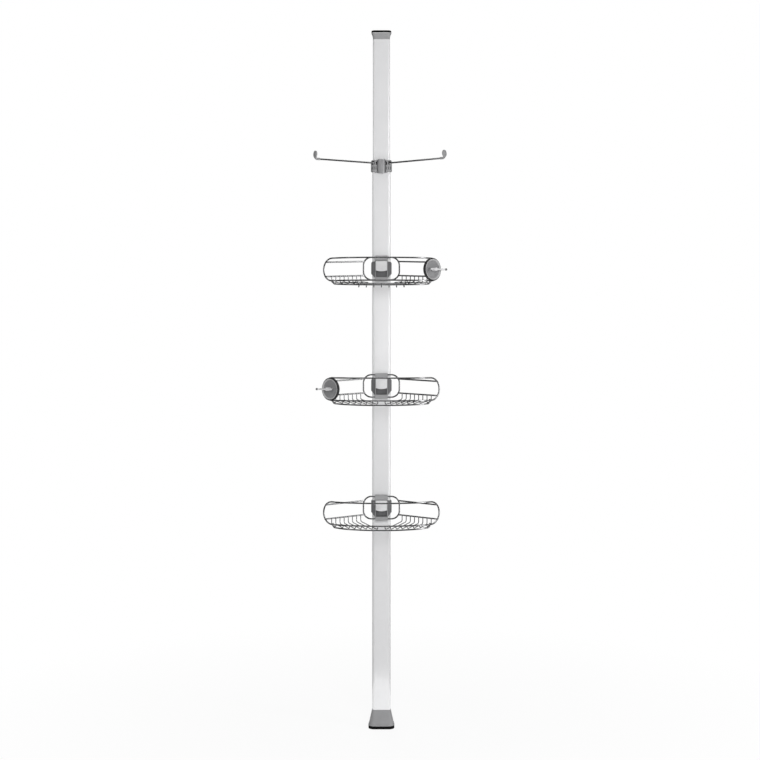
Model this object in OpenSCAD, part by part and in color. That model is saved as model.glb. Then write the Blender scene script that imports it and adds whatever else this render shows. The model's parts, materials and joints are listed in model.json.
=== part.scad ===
// Tension pole shelf unit: a telescoping pole wedged between floor and ceiling,
// with three sliding wire baskets, two swinging bars and two hook discs.
// Millimetres, Z up, origin on the pole axis at the floor, front towards -Y.

/* [Pole] */
// Height of the unit as it stands between floor and ceiling
overall_h = 2085; // [1950:5:2400]
// Length of the lower tube
lower_len = 1628; // [1500:1:1700]
// Length of the upper tube
upper_len = 1164; // [1050:1:1250]
// Width of the lower tube
tube_w = 54.6; // [50:0.2:58]
// Depth of the lower tube
tube_d = 34.6; // [32:0.2:38]
// Corner radius of the lower tube
tube_r = 8; // [6:0.5:10]
// Wall of both tubes
tube_wall = 1.2; // [1:0.1:1.6]
// Gap between the two tubes, each side
slide_gap = 0.6; // [0.5:0.1:1]

/* [Foot and cap] */
// Height of the foot moulding
foot_h = 47; // [40:1:60]
// Width of the foot at its base
foot_w = 75; // [70:1:90]
// Depth of the foot at its base
foot_d = 56; // [50:1:70]
// Thickness of the rubber pad under the foot
pad_t = 8; // [5:0.5:12]
// Thickness of the rubber pad on the cap
cap_pad_t = 6; // [4:0.5:10]
// How far the pads stand out past the mouldings
pad_lip = 1.2; // [0.6:0.1:2.5]
// Height of the cap moulding
cap_h = 20; // [16:1:30]
// How far the cap flares out over the upper tube, each side
cap_flare = 3; // [2:0.5:5]
// Length of the plugs that sit in the tubes
plug_len = 32; // [24:1:45]

/* [Spring] */
// Mean diameter of the long spring in the pole
spring_d = 20; // [17:0.5:22]
// Diameter of the spring wire
spring_wire = 2.4; // [2:0.1:2.8]
// Number of turns of the spring
spring_turns = 24; // [16:1:30]

/* [Collar] */
// Height of the collar at its middle
collar_h = 38; // [36:1:44]
// Width of the collar
collar_w = 63; // [62:0.5:70]
// Rise of the collar's curved lower edge from its middle to its sides
collar_sag = 8.5; // [6:0.1:10]
// Thickness of the collar in front of the lower tube
collar_front = 12.2; // [12:0.2:15]
// Thickness of the collar behind the lower tube
collar_back = 4.2; // [3.5:0.1:8]
// Length of the lower tube held in the collar
collar_hold = 25; // [22:1:27]
// Radius of the half round lock lever
lock_r = 13.2; // [12:0.2:13.6]
// Height of the lock lever
lock_h = 42; // [38:1:46]

/* [Arms] */
// Reach of each arm from its pivot to its tip
arm_len = 190; // [150:5:230]
// Diameter of the arm rod
arm_rod = 5; // [4.5:0.1:5.5]
// Angle of the left arm, forward from the sideways direction
left_arm_ang = 28; // [10:1:60]
// Angle of the right arm, forward from the sideways direction
right_arm_ang = 34; // [10:1:60]
// Distance of the arm pivots from the pole axis, sideways
arm_x = 25; // [24:0.5:26]
// Diameter of the round tip
tip_d = 21; // [18:0.5:24]
// Thickness of the round tip
tip_t = 3.2; // [2.6:0.1:4]

/* [Baskets] */
// Distance of the top basket's centre below the top of the lower tube
top_down = 310; // [270:5:330]
// Distance of the middle basket's centre below the top of the lower tube
middle_down = 660; // [630:5:690]
// Distance of the bottom basket's centre below the top of the lower tube
bottom_down = 1023; // [990:1:1090]
// Diameter of the frame wire
rail_wire = 4.4; // [4:0.1:4.8]
// Diameter of the floor wires
floor_wire = 2.6; // [2.2:0.1:3]
// Width of the loop behind the clamp, on its centre line
loop_w = 107; // [100:1:116]
// Height of the loop behind the clamp, on its centre line
loop_h = 67; // [66:0.5:69]
// Corner radius of the loop, on its centre line
loop_r = 24; // [18:1:26]
// Reach of the front rails from the pole axis
front_reach = 140; // [130:1:150]
// Radius of the long front curve
front_r = 330; // [310:5:350]
// Half angle of the long front curve
front_ang = 16; // [15:0.5:17]
// Radius of the tighter curve at each side
side_r = 142; // [138:1:146]
// Direction in which the front rails end
end_ang = 41; // [39:0.5:43]
// Distance between the upper and the lower front rail
band_h = 66; // [62:1:70]
// Depth of the front rails' middle line below the basket's centre
band_drop = 7; // [5:0.5:9]
// Distance between the two rails at each side of the loop
rails_h = 42; // [38:1:46]
// Drop of these rails on their way out
rails_drop = 5.8; // [4:0.2:8]
// Floor wires on each side
floor_each = 8; // [4:1:8]
// Pitch of the floor wires, sideways
floor_pitch = 12.14; // [11:0.1:12.2]
// Depth of the basket floor below the lower side rails, at the back
floor_depth = 17.5; // [14:0.5:22]
// Forward slope of the floor
floor_tilt = 6; // [4:0.5:7]

/* [Centre tray] */
// Width of the sunk tray in the top basket
tray_w = 144; // [130:1:150]
// Distance of the tray's back from the pole axis
tray_back = 75; // [70:1:85]
// Cross wires of the tray
tray_wires = 7; // [5:2:7]
// Pitch of the cross wires
tray_pitch = 22; // [18:0.5:22]
// Depth of the tray below the basket floor
tray_depth = 8; // [7:0.5:12]

/* [Clamps] */
// Width of the sleeve around the pole
sleeve_w = 61.2; // [60:0.2:66]
// Height of the sleeve around the pole
sleeve_h = 49; // [46:1:52]
// Width of the clamp's front spine
spine_w = 38; // [37.5:0.5:42]
// Height of the clamp's front spine
spine_h = 76; // [75:0.5:80]
// Width of the release lever
lever_w = 33; // [30:0.5:33]
// Height of the release lever
lever_h = 32; // [28:1:34]

/* [Hook discs] */
// Diameter of a hook disc
disc_d = 67; // [66:0.5:72]
// Thickness of a hook disc
disc_t = 8; // [6:0.5:10]
// Length of the bar across a hook disc
bar_len = 66; // [56:1:74]
// Diameter of the bar
bar_d = 5; // [4:0.5:6]

/* [Hidden] */

$fn = 48;
eps = 0.02;         // overrun of a cut past the face that it opens
fit = 0.1;          // clearance of a piece seated in another
free = 0.4;         // clearance of a piece that slides or swings
seat = 0.3;         // gap between neighbours that only rest on each other
bore_play = 0.05;   // radial play of a pin in its hole
weld = 0.2;         // gap that the weld fills between two wires
swell = 0.03;       // how much thicker a bend is than the wire that runs into it, all round
lap = 0.2;          // how far that wire runs into the bend

aluminium = [0.84, 0.84, 0.85];
steel = [0.72, 0.73, 0.74];
grey = [0.52, 0.52, 0.53];
dark_grey = [0.40, 0.40, 0.42];
pale_grey = [0.86, 0.86, 0.87];
rubber = [0.06, 0.06, 0.06];

// heights along the pole
lower_z0 = pad_t + foot_h;
lower_z1 = lower_z0 + lower_len;
cap_z1 = overall_h - cap_pad_t;
cap_z0 = cap_z1 - cap_h;
upper_z0 = cap_z0 - upper_len;
top_z = lower_z1 - top_down;
middle_z = lower_z1 - middle_down;
bottom_z = lower_z1 - bottom_down;

// tube sections
tube_face = tube_d / 2;
cavity_w = tube_w - 2 * tube_wall;
cavity_d = tube_d - 2 * tube_wall;
cavity_r = tube_r - tube_wall;
upper_w = cavity_w - 2 * slide_gap;
upper_d = cavity_d - 2 * slide_gap;
upper_r = cavity_r - slide_gap;
bore_w = upper_w - 2 * tube_wall;
bore_d = upper_d - 2 * tube_wall;
bore_r = upper_r - tube_wall;

// block between three pairs of limits
module block(x, y, z) {
    translate([x[0], y[0], z[0]])
        cube([x[1] - x[0], y[1] - y[0], z[1] - z[0]]);
}

// rectangle with round corners, centred
module rounded(w, d, r) {
    square([w - 2 * r, d], center = true);
    square([w, d - 2 * r], center = true);
    for (sx = [-1, 1])
        for (sy = [-1, 1])
            translate([sx * (w / 2 - r), sy * (d / 2 - r)])
                circle(r);
}

// upright prism of that rectangle between two heights
module slab(w, d, r, z0, z1) {
    translate([0, 0, z0])
        linear_extrude(z1 - z0)
            rounded(w, d, r);
}

// flared block between two such rectangles
module flare(lower, upper, z0, z1) {
    skin = pad_lip / 10;
    hull() {
        slab(lower[0], lower[1], lower[2], z0, z0 + skin, $fn = 32);
        slab(upper[0], upper[1], upper[2], z1 - skin, z1, $fn = 32);
    }
}

// rod along X, centred on a place in the YZ plane
module cross_rod(y, z, d, len) {
    translate([-len / 2, y, z])
        rotate([0, 90, 0])
            cylinder(d = d, h = len);
}

// a shape drawn as [y, z] and carried along X, centred
module cross_prism(len) {
    translate([-len / 2, 0, 0])
        rotate([90, 0, 90])
            linear_extrude(len)
                children();
}

// a shape drawn as [x, z] and carried along Y between two places
module front_prism(y0, y1) {
    translate([0, y1, 0])
        rotate([90, 0, 0])
            linear_extrude(y1 - y0)
                children();
}

// vector helpers
function unit(v) = v / norm(v);
function turn(a, b, c) = acos(unit(b - a) * unit(c - b));
function side_of(v) = abs(v[2]) < 0.9 * norm(v)
    ? unit(cross([0, 0, 1], v))
    : unit(cross([1, 0, 0], v));

// children with their own X, Y and Z axes along x, y and z
module frame(o, x, y, z) {
    multmatrix([
        [x[0], y[0], z[0], o[0]],
        [x[1], y[1], z[1], o[1]],
        [x[2], y[2], z[2], o[2]],
        [0, 0, 0, 1]
    ])
        children();
}

// straight round wire between two points
module strut(a, b, d) {
    z = unit(b - a);
    x = side_of(z);
    frame(a, x, cross(z, x), z)
        cylinder(d = d, h = norm(b - a));
}

// round bend of a wire at point b, on its way from a to c
module bend(a, b, c, r, d) {
    u = unit(b - a);
    v = unit(c - b);
    ang = turn(a, b, c);
    start = b - u * r * tan(ang / 2);
    z = unit(cross(u, v));
    inward = cross(z, u);
    frame(start + inward * r, -inward, u, z)
        rotate_extrude(angle = ang)
            translate([r, 0])
                circle(d = d + 2 * swell);
}

// length that the bend at point i takes from the straights beside it
function trim(p, i, r) = i == 0 || i == len(p) - 1
    ? 0
    : r * tan(turn(p[i - 1], p[i], p[i + 1]) / 2) - lap;

// round wire through a list of points, each inner corner a bend of radius r
module wire(p, r, d) {
    for (i = [0 : len(p) - 2]) {
        u = unit(p[i + 1] - p[i]);
        strut(p[i] + u * trim(p, i, r), p[i + 1] - u * trim(p, i + 1, r), d);
    }
    if (len(p) > 2)
        for (i = [1 : len(p) - 2])
            bend(p[i - 1], p[i], p[i + 1], r, d);
}

// Foot, tubes, spring and cap

foot_lip = foot_h / 10;
shell = 3;
pad_key = 6;
seat_t = 8;
boss_d = spring_d - spring_wire - 2 * free;

module floor_pad() color(rubber) {
    slab(foot_w + 2 * pad_lip, foot_d + 2 * pad_lip, 2 * tube_r + pad_lip, 0, pad_t);
    slab(tube_w - 2 * shell - 2 * seat, tube_d - 2 * shell - 2 * seat,
        tube_r - shell, pad_t, pad_t + pad_key);
}

module foot() color(grey)
    difference() {
        union() {
            flare([foot_w, foot_d, 2 * tube_r], [tube_w, tube_d, tube_r],
                pad_t + foot_lip, lower_z0);
            slab(foot_w, foot_d, 2 * tube_r, pad_t, pad_t + foot_lip);
            slab(cavity_w - 2 * fit, cavity_d - 2 * fit, cavity_r - fit,
                lower_z0, lower_z0 + plug_len);
        }
        slab(tube_w - 2 * shell, tube_d - 2 * shell, tube_r - shell,
            pad_t - eps, lower_z0 - shell);
    }

module outer_tube() color(aluminium)
    difference() {
        slab(tube_w, tube_d, tube_r, lower_z0, lower_z1);
        slab(cavity_w, cavity_d, cavity_r, lower_z0 - eps, lower_z1 + eps);
    }

module spring_seat() color(dark_grey) {
    slab(cavity_w - 2 * fit, cavity_d - 2 * fit, cavity_r - fit,
        lower_z0 + plug_len, lower_z0 + plug_len + seat_t);
    translate([0, 0, lower_z0 + plug_len + seat_t])
        cylinder(d = boss_d, h = seat_t);
}

// the spring is a tube of six sides on a helix, with eight rings a turn
spring_z0 = lower_z0 + plug_len + seat_t + seat;
spring_z1 = upper_z0 - seat_t - seat;
ring_sides = 6;
turn_rings = 8;
spring_rings = spring_turns * turn_rings;

function helix_ring(i) = [
    for (k = [0 : ring_sides - 1])
        let (
            a = 360 * i / turn_rings,
            b = 360 * k / ring_sides,
            r = spring_d / 2 + spring_wire / 2 * cos(b),
            rise = (spring_z1 - spring_z0 - spring_wire) * i / spring_rings
        )
        [r * cos(a), r * sin(a), spring_z0 + spring_wire / 2 * (1 + sin(b)) + rise]
];

// least gap between the turns, measured on the points of the middle line
function helix_point(i) = [
    spring_d / 2 * cos(360 * i / turn_rings),
    spring_d / 2 * sin(360 * i / turn_rings),
    (spring_z1 - spring_z0 - spring_wire) * i / spring_rings
];
spring_gap = min([
    for (i = [0 : spring_rings - turn_rings])
        for (j = [i + turn_rings / 2 : min(i + 2 * turn_rings, spring_rings)])
            norm(helix_point(j) - helix_point(i)) - spring_wire
]);
echo(spring_gap = spring_gap);

module tension_spring() color(steel) {
    points = [for (i = [0 : spring_rings]) each helix_ring(i)];
    sides = [
        for (i = [0 : spring_rings - 1])
            for (k = [0 : ring_sides - 1])
                let (
                    a = i * ring_sides + k,
                    b = i * ring_sides + (k + 1) % ring_sides,
                    c = b + ring_sides,
                    d = a + ring_sides
                )
                each [[a, b, c], [a, c, d]]
    ];
    first = [for (k = [1 : ring_sides - 2]) [0, k + 1, k]];
    last = [for (k = [1 : ring_sides - 2]) [0, k, k + 1] + spring_rings * ring_sides * [1, 1, 1]];
    polyhedron(points, concat(first, sides, last));
}

module inner_tube() color(aluminium)
    difference() {
        slab(upper_w, upper_d, upper_r, upper_z0, cap_z0);
        slab(bore_w, bore_d, bore_r, upper_z0 - eps, cap_z0 + eps);
    }

module inner_tube_plug() color(dark_grey)
    difference() {
        union() {
            slab(cavity_w - 2 * seat, cavity_d - 2 * seat, cavity_r - seat,
                upper_z0 - seat_t, upper_z0);
            slab(bore_w - 2 * fit, bore_d - 2 * fit, bore_r - fit,
                upper_z0, upper_z0 + plug_len);
        }
        translate([0, 0, upper_z0 + shell])
            cylinder(d = boss_d, h = plug_len);
    }

module top_cap() color(grey)
    difference() {
        union() {
            flare([upper_w, upper_d, upper_r],
                [upper_w + 2 * cap_flare, upper_d + 2 * cap_flare, upper_r + cap_flare],
                cap_z0, cap_z1);
            slab(bore_w - 2 * fit, bore_d - 2 * fit, bore_r - fit, cap_z0 - plug_len, cap_z0);
        }
        slab(bore_w - 2 * shell, bore_d - 2 * shell, bore_r - shell,
            cap_z0 - plug_len - eps, cap_z0 + shell);
        slab(bore_w, bore_d, bore_r, cap_z1 - pad_key, cap_z1 + eps);
    }

module ceiling_pad() color(rubber) {
    slab(upper_w + 2 * cap_flare + 2 * pad_lip, upper_d + 2 * cap_flare + 2 * pad_lip,
        upper_r + cap_flare + pad_lip, cap_z1, overall_h);
    slab(bore_w - 2 * seat, bore_d - 2 * seat, bore_r - seat, cap_z1 - pad_key + seat, cap_z1);
}

// Collar with its lock lever

collar_z0 = lower_z1 - collar_hold;
collar_z1 = collar_z0 + collar_h;
collar_face = -tube_face - collar_front;
collar_rear = tube_face + collar_back;
collar_r = 12;
collar_edge = 5;
collar_arc_r = (pow(collar_w / 2, 2) + pow(collar_sag, 2)) / (2 * collar_sag);
lock_overlap = 3;
lock_proud = 0.8;
lock_skin = 3.3;
lock_back = -tube_face - lock_skin - free;
lock_depth = 11;
lock_face = lock_back - lock_depth;
lock_z1 = collar_z1 + lock_overlap;
lock_z0 = lock_z1 - lock_h;
lock_hinge_r = lock_depth / 2;
lock_hinge_y = lock_back - lock_hinge_r;
lock_hinge_z = lock_z1 - lock_hinge_r;
lock_pin_d = 3;
slot_w = 3.4;
slot_h = 10;
slot_roof = 0.6;
slot_z1 = lock_hinge_z - lock_pin_d / 2 - slot_roof;
scoop_d = 10;
shoe_w = 16;
shoe_h = 8;
shoe_lift = 3;
shoe_z0 = lower_z1 + shoe_lift;
arm_drop = 8;
arm_z = collar_z1 - arm_drop;
arm_ahead = 6.7;
arm_y = -tube_face - arm_ahead;
knuckle_d = 9;
knuckle_h = 5.8;
spacer_d = 6.4;
spacer_h = 11.2;
pocket_h = 12;
pocket_x = arm_x - knuckle_d / 2 - free;
pocket_y = arm_y + knuckle_d / 2 + free;
arm_pin_d = 4;
arm_pin_len = 18;
groove_w = 1.8;
groove_deep = 5;
groove_pitch = 5.7;
groove_rib = 1.6;
groove_edge = 1;
grooves = 3;
groove_x = lock_r + free + groove_rib + groove_w / 2;
screw_d = 4;
screw_socket = 2.3;
screw_x = 15;
screw_rise = 15;

// curved lower edge of the collar, seen from the front and lowered by a given amount
module collar_arc(more) {
    translate([0, collar_z0 + collar_arc_r])
        circle(collar_arc_r + more, $fn = 96);
}

module collar() color(grey)
    difference() {
        intersection() {
            translate([0, (collar_face + collar_rear) / 2, 0])
                slab(collar_w, collar_rear - collar_face, collar_r, collar_z0 - collar_edge, collar_z1);
            front_prism(collar_face - eps, collar_rear + eps)
                translate([0, (collar_z0 + collar_z1 - collar_edge) / 2])
                    rounded(collar_w, collar_h + collar_edge, collar_edge);
            front_prism(collar_face - free, collar_rear + free)
                collar_arc(0);
        }
        slab(tube_w + 2 * fit, tube_d + 2 * fit, tube_r + fit,
            collar_z0 - collar_edge, lower_z1 + fit);
        slab(upper_w + 2 * free, upper_d + 2 * free, upper_r + free, lower_z1, collar_z1 + eps);
        // channel of the lock lever, wider at its upper end, and window of the brake shoe
        block([-lock_r - free, lock_r + free], [lock_face, lock_back + free],
            [collar_z0 - collar_edge, collar_z1 + eps]);
        block([-lock_r - free - slot_w, lock_r + free + slot_w], [lock_face, lock_back],
            [slot_z1 - slot_h, slot_z1]);
        block([-shoe_w / 2 - fit, shoe_w / 2 + fit], [lock_back, 0],
            [shoe_z0 - fit, shoe_z0 + shoe_h + fit]);
        cross_rod(lock_hinge_y, lock_hinge_z, lock_pin_d + 2 * bore_play, 2 * pocket_x + 2 * free);
        for (s = [-1, 1]) {
            // pocket in which an arm swings, with the hole of its pin
            mirror([s < 0 ? 1 : 0, 0, 0])
                block([pocket_x, collar_w], [lock_face, pocket_y],
                    [arm_z - pocket_h / 2, arm_z + pocket_h / 2]);
            translate([s * arm_x, arm_y, collar_z1 - arm_pin_len])
                cylinder(d = arm_pin_d + 2 * bore_play, h = arm_pin_len + eps);
            // ribbed grip below the pocket
            for (i = [0 : grooves - 1])
                translate([s * (groove_x + groove_pitch * i), collar_face, 0])
                    block([-groove_w / 2, groove_w / 2], [-eps, groove_deep],
                        [collar_z0 + collar_sag + groove_edge, collar_z1 - arm_pin_len - groove_edge]);
            // thread of the screw at the back
            translate([s * screw_x, tube_face, collar_z0 + screw_rise])
                rotate([-90, 0, 0])
                    cylinder(d = screw_d + 2 * bore_play, h = collar_back + eps);
        }
    }

module collar_screws() color(steel)
    for (s = [-1, 1])
        translate([s * screw_x, tube_face + fit, collar_z0 + screw_rise])
            rotate([-90, 0, 0])
                difference() {
                    cylinder(d = screw_d, h = collar_back - fit);
                    translate([0, 0, collar_back / 2])
                        cylinder(d = screw_socket, h = collar_back, $fn = 6);
                }

module lock_lever() color(grey)
    difference() {
        intersection() {
            translate([0, lock_face + lock_r, lock_z0])
                cylinder(r = lock_r, h = lock_h);
            cross_prism(2 * lock_r + 2 * eps) {
                translate([lock_face - eps, lock_z0])
                    square([lock_depth + eps, lock_hinge_z - lock_z0]);
                translate([lock_hinge_y, lock_hinge_z])
                    circle(lock_hinge_r);
            }
            front_prism(lock_face - eps, lock_back + eps)
                collar_arc(lock_proud);
        }
        cross_rod(lock_hinge_y, lock_hinge_z, lock_pin_d + 2 * bore_play, 2 * lock_r + 2 * eps);
        cross_rod(lock_back, lock_z0, scoop_d, 2 * lock_r + 2 * eps);
    }

module lock_lever_pin() color(steel)
    cross_rod(lock_hinge_y, lock_hinge_z, lock_pin_d, 2 * pocket_x - 2 * fit);

module lock_shoe() color(rubber)
    block([-shoe_w / 2, shoe_w / 2], [lock_back + seat, -upper_d / 2 - seat],
        [shoe_z0, shoe_z0 + shoe_h]);

// Arms

tip_bend = 2.5;
tip_sleeve = 10;
tip_skin = 1;
tip_sleeve_d = arm_rod + 2 * tip_skin;
tip_stop = 2;
tip_x = arm_len - tip_t / 2 - tip_bend;

// children with X along an arm and the origin on its pivot
module on_arm(side, ang) {
    translate([side * arm_x, arm_y, arm_z])
        rotate([0, 0, side > 0 ? -ang : 180 + ang])
            children();
}

module arm(side, ang) color(steel)
    on_arm(side, ang)
        difference() {
            union() {
                translate([0, 0, -knuckle_h / 2])
                    cylinder(d = knuckle_d, h = knuckle_h);
                translate([0, 0, -spacer_h / 2])
                    cylinder(d = spacer_d, h = spacer_h);
                rotate([0, 90, 0])
                    cylinder(d = arm_rod, h = tip_x - tip_stop);
            }
            translate([0, 0, -spacer_h])
                cylinder(d = arm_pin_d + 2 * bore_play, h = 2 * spacer_h);
        }

module arm_tip(side, ang) color(grey)
    on_arm(side, ang) {
        difference() {
            translate([tip_x - tip_sleeve, 0, 0])
                rotate([0, 90, 0])
                    cylinder(d = tip_sleeve_d, h = tip_sleeve);
            translate([tip_x - tip_sleeve - eps, 0, 0])
                rotate([0, 90, 0])
                    cylinder(d = arm_rod + 2 * fit, h = tip_sleeve - tip_stop + fit);
        }
        translate([tip_x, tip_sleeve_d / 2, tip_t / 2 + tip_bend])
            rotate([90, 0, 0])
                rotate([0, 0, -90])
                    rotate_extrude(angle = 90)
                        translate([tip_bend, 0])
                            square([tip_t, tip_sleeve_d]);
        translate([arm_len - tip_t / 2, 0, 0])
            rotate([90, 0, 90])
                linear_extrude(tip_t) {
                    translate([0, tip_bend + tip_d / 2])
                        circle(d = tip_d);
                    translate([-tip_sleeve_d / 2, tip_t / 2 + tip_bend])
                        square([tip_sleeve_d, tip_d / 2]);
                }
    }

module arm_pins() color(steel)
    for (s = [-1, 1])
        translate([s * arm_x, arm_y, collar_z1 - arm_pin_len])
            cylinder(d = arm_pin_d, h = arm_pin_len);

// Clamps: places are given from the centre of a basket

clamp_back = -tube_face - free;
loop_ahead = 6.7;
loop_y = -tube_face - loop_ahead;
cover_t = 10;
cover_face = loop_y - cover_t;
sleeve_skin = (sleeve_w - tube_w) / 2 - free;
sleeve_d = tube_d + 2 * free + 2 * sleeve_skin;
sleeve_top = 21;
sleeve_low = sleeve_top - sleeve_h;
wing_r = 6;
wing_chamfer = 14;
spine_r = 3;
window_top = 24;
window_low = -26;
window_gap = 1;
hinge_r = 6;
hinge_deep = 3;
hinge_y = cover_face + hinge_deep;
hinge_z = window_top - hinge_r - window_gap;
lever_t = 3.5;
lever_face = hinge_y - hinge_r;
lever_flare = 3;
lever_sag_r = 47;
lever_corner = 3;
lever_low = hinge_z + hinge_r - lever_h;
clamp_pin_d = 4;
pad_w = 24;
pad_h = 10;
pad_z = [hinge_z - pad_h / 2, hinge_z + pad_h / 2];
clamp_screw_d = 3;
clamp_screw_head = 5.6;
clamp_screw_head_h = 2;
clamp_screw_len = 12;
clamp_screw_z = 28.8;
moat_w = 3.2;
moat_deep = 3.4;
moat_top = 8;

// front outline of the sleeve: round shoulders above, chamfers below
module wing_outline() {
    half = sleeve_w / 2;
    translate([-half, sleeve_low + wing_chamfer])
        square([sleeve_w, sleeve_h - wing_chamfer - wing_r]);
    translate([-half + wing_r, sleeve_low + wing_chamfer])
        square([sleeve_w - 2 * wing_r, sleeve_h - wing_chamfer]);
    for (s = [-1, 1])
        translate([s * (half - wing_r), sleeve_top - wing_r])
            circle(wing_r);
    polygon([
        [-half, sleeve_low + wing_chamfer], [-spine_w / 2, sleeve_low],
        [spine_w / 2, sleeve_low], [half, sleeve_low + wing_chamfer]
    ]);
}

// grooves of the loop and holes of the screws, cut from body and cover alike
module clamp_cuts() {
    for (s = [-1, 1]) {
        cross_rod(loop_y, s * loop_h / 2, rail_wire + 2 * fit, spine_w + 2 * eps);
        translate([0, clamp_back + eps, s * clamp_screw_z])
            rotate([90, 0, 0]) {
                cylinder(d = clamp_screw_d + 2 * bore_play, h = clamp_screw_len + fit);
                cylinder(d = clamp_screw_head + 2 * fit, h = clamp_screw_head_h + 2 * fit);
            }
    }
}

module clamp_body(z) color(dark_grey)
    translate([0, 0, z])
        difference() {
            union() {
                intersection() {
                    slab(sleeve_w, sleeve_d, tube_r + free + sleeve_skin, sleeve_low, sleeve_top);
                    front_prism(-sleeve_d, sleeve_d)
                        wing_outline();
                }
                front_prism(loop_y, 0)
                    rounded(spine_w, spine_h, spine_r);
            }
            slab(tube_w + 2 * free, tube_d + 2 * free, tube_r + free, -spine_h, spine_h);
            block([-pad_w / 2 - fit, pad_w / 2 + fit], [loop_y - eps, 0],
                [pad_z[0] - fit, pad_z[1] + fit]);
            // groove round the plate below the release lever
            difference() {
                block([-lever_w / 2 - free, lever_w / 2 + free], [loop_y - eps, loop_y + moat_deep],
                    [window_low, moat_top]);
                block([-lever_w / 2 - free + moat_w, lever_w / 2 + free - moat_w],
                    [loop_y - 2 * eps, loop_y + moat_deep + eps], [window_low + moat_w, moat_top + eps]);
            }
            clamp_cuts();
        }

module clamp_cover(z) color(grey)
    translate([0, 0, z])
        difference() {
            front_prism(cover_face, loop_y - fit)
                rounded(spine_w, spine_h, spine_r);
            block([-lever_w / 2 - free, lever_w / 2 + free], [cover_face - eps, 0],
                [window_low, window_top]);
            cross_rod(hinge_y, hinge_z, clamp_pin_d + 2 * bore_play, spine_w + 2 * eps);
            clamp_cuts();
        }

module clamp_screws(z) color(steel)
    for (s = [-1, 1])
        translate([0, clamp_back - fit, z + s * clamp_screw_z])
            rotate([90, 0, 0]) {
                cylinder(d = clamp_screw_d, h = clamp_screw_len - fit);
                cylinder(d = clamp_screw_head, h = clamp_screw_head_h);
            }

// side view of the release lever: hinge barrel, plate and flared lip
module lever_profile() {
    translate([hinge_y, hinge_z])
        circle(hinge_r);
    polygon([
        [lever_face, hinge_z], [lever_face, 0],
        [lever_face - lever_flare, lever_low], [lever_face - lever_flare + lever_t, lever_low],
        [lever_face + lever_t, 0], [lever_face + lever_t, hinge_z - hinge_r / 2],
        [hinge_y, hinge_z]
    ]);
}

module clamp_lever(z) color(pale_grey)
    translate([0, 0, z])
        difference() {
            intersection() {
                cross_prism(lever_w)
                    lever_profile();
                front_prism(lever_face - 2 * lever_flare, 0)
                    intersection() {
                        translate([0, hinge_z + hinge_r - lever_h])
                            rounded(lever_w, 2 * lever_h, lever_corner);
                        translate([0, lever_low + lever_sag_r])
                            circle(lever_sag_r, $fn = 96);
                    }
            }
            cross_rod(hinge_y, hinge_z, clamp_pin_d + 2 * bore_play, lever_w + 2 * eps);
        }

module clamp_pin(z) color(steel)
    cross_rod(hinge_y, z + hinge_z, clamp_pin_d, spine_w);

module clamp_pad(z) color(rubber)
    translate([0, 0, z])
        block([-pad_w / 2, pad_w / 2], [hinge_y + hinge_r + seat, -tube_face - seat], pad_z);

// Baskets: places are given from the centre of a basket

band_top = band_h / 2 - band_drop;
band_low = -band_h / 2 - band_drop;
side_c = [
    (front_r - side_r) * sin(front_ang),
    -front_reach + front_r - (front_r - side_r) * cos(front_ang)
];
end_x = side_c[0] + side_r * sin(end_ang);
end_y = side_c[1] - side_r * cos(end_ang);
tangent = [cos(end_ang), sin(end_ang)];
loop_x = loop_w / 2;

// arc of a wire in plan, about a centre, between two directions from -Y,
// and run on at both ends by a given length
module plan_arc(c, r, a0, a1, d, on = 0) {
    more = on / r * 180 / PI;
    translate([c[0], c[1], 0])
        rotate([0, 0, a0 - more - 90])
            rotate_extrude(angle = a1 - a0 + 2 * more)
                translate([r, 0])
                    circle(d = d);
}

// the curved front line of a basket, moved inwards, out to a given direction:
// its side curves run on into the middle curve and into what follows them
module front_line(inset, last, d) {
    plan_arc([0, front_r - front_reach], front_r - inset, -front_ang, front_ang, d + 2 * swell);
    plan_arc(side_c, side_r - inset, front_ang, last, d, lap);
    plan_arc([-side_c[0], side_c[1]], side_r - inset, -last, -front_ang, d, lap);
}

// children in the upright plane of a basket's right or left end:
// origin at the centre of its bow, X outwards, Z up
module on_end(side) {
    translate([side * end_x, end_y, -band_drop])
        rotate([0, 0, side > 0 ? end_ang : 180 - end_ang])
            children();
}

module bow(d) {
    rotate([90, 0, 0])
        rotate([0, 0, -90])
            rotate_extrude(angle = 180)
                translate([band_h / 2, 0])
                    circle(d = d);
}

module basket_band(z) color(steel)
    translate([0, 0, z]) {
        for (level = [band_top, band_low])
            translate([0, 0, level])
                front_line(0, end_ang, rail_wire);
        for (s = [-1, 1])
            on_end(s)
                bow(rail_wire + 2 * swell);
    }

module loop_wire(d) {
    wire([
        [0, loop_y, loop_h / 2], [loop_x, loop_y, loop_h / 2],
        [loop_x, loop_y, -loop_h / 2], [-loop_x, loop_y, -loop_h / 2],
        [-loop_x, loop_y, loop_h / 2], [0, loop_y, loop_h / 2]
    ], loop_r, d);
}

module basket_loop(z) color(steel)
    translate([0, 0, z])
        loop_wire(rail_wire);

// where the middle line of a side rail meets those of the loop and of the bow
function flip(p, s) = [s * p[0], p[1], p[2]];
function rail_in(level) =
    let (up = max(rails_h / 2 - (loop_h / 2 - loop_r), 0))
    [loop_x - loop_r + sqrt(loop_r * loop_r - up * up), loop_y, level * rails_h / 2];
function rail_out(level) =
    let (
        z = level * rails_h / 2 - rails_drop,
        t = sqrt(pow(band_h / 2, 2) - pow(z + band_drop, 2))
    )
    [end_x + t * tangent[0], end_y + t * tangent[1], z];

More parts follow.
